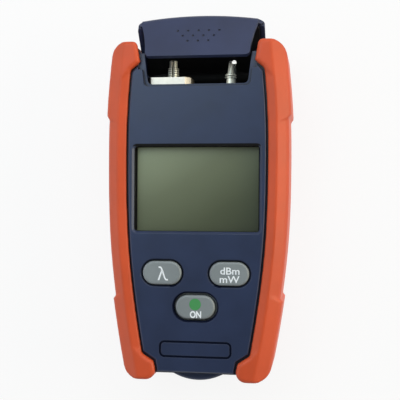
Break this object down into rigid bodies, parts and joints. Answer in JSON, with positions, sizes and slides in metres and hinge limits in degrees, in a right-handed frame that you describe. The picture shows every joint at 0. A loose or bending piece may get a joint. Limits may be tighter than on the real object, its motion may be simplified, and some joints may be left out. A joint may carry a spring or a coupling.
{
  "type": "optical power meter",
  "caption": "Handheld optical power meter with rubber side guards, a blank display, oval keys and a hinged lid over its fibre ports.",
  "frame": {"origin": "on the flat back panel that the meter lies on, on its centre line and midway between the ends of the side guards", "axes": "+Z out of the display, +Y towards the end with the optical ports and lid, +X to the right of the display"},
  "size_m": [0.0746, 0.1476, 0.0339],
  "materials": {
    "casing_blue": "fine satin texture, moulded dark blue",
    "rear_blue": "fine satin texture, moulded dark blue",
    "bumper_orange": "soft satin rubber",
    "liner_black": "matte black",
    "bay_black": "matte black",
    "nickel": "bright nickel plate",
    "steel": "zinc plated",
    "window_clear": "clear, gloss",
    "lcd_glass": "grey green, blank",
    "holder_white": "white",
    "key_grey": "soft satin",
    "membrane_grey": "translucent silicone",
    "switch_black": "moulded",
    "board_green": "solder mask",
    "cell_jacket": "printed sleeve, blank",
    "contact_steel": "nickel plated",
    "guide_clear": "clear acrylic"
  },
  "bodies": {
    "casing": {"front_cover": "casing_blue", "rear_cover": "rear_blue", "left_bumper": "bumper_orange", "right_bumper": "bumper_orange", "hinge_pins": "steel", "port_bulkhead": "bay_black", "adapter_plate": "nickel", "plate_screws": "steel", "detector_adapter": "nickel", "photodetector": "nickel", "spare_adapter": "nickel", "storage_post": "steel", "torch_light_guide": "guide_clear", "torch_led": "guide_clear", "display_window": "window_clear", "lcd_panel": "lcd_glass", "lcd_holder": "holder_white", "key_membrane": "membrane_grey", "key_switches": "switch_black", "circuit_board": "board_green", "case_screws": "steel", "board_screws": "steel", "left_cell": "cell_jacket", "right_cell": "cell_jacket", "contact_plates": "contact_steel", "cell_springs": "contact_steel"},
    "lid": {"port_lid": "casing_blue", "lid_liner": "liner_black"},
    "wavelength_key": {"lambda_key": "key_grey"},
    "units_key": {"unit_key": "key_grey"},
    "mode_key": {"function_key": "key_grey"},
    "door": {"battery_door": "rear_blue"}
  },
  "joints": [
    {"name": "lid_hinge", "type": "hinge", "parent": "casing", "child": "lid", "pos_m": [0, 0.0562, 0.006], "axis": [-1, 0, 0], "range_deg": [-24.5, 95]},
    {"name": "wavelength_key_press", "type": "slide", "parent": "casing", "child": "wavelength_key", "axis": [0, 0, -1], "range_m": [0, 0.001], "stiffness_N_per_m": 400, "springref_m": -0.001},
    {"name": "units_key_press", "type": "slide", "parent": "casing", "child": "units_key", "axis": [0, 0, -1], "range_m": [0, 0.001], "stiffness_N_per_m": 400, "springref_m": -0.001},
    {"name": "mode_key_press", "type": "slide", "parent": "casing", "child": "mode_key", "axis": [0, 0, -1], "range_m": [0, 0.001], "stiffness_N_per_m": 400, "springref_m": -0.001},
    {"name": "door_slide", "type": "slide", "parent": "casing", "child": "door", "axis": [0, -1, 0], "range_m": [0, 0.012]}
  ]
}
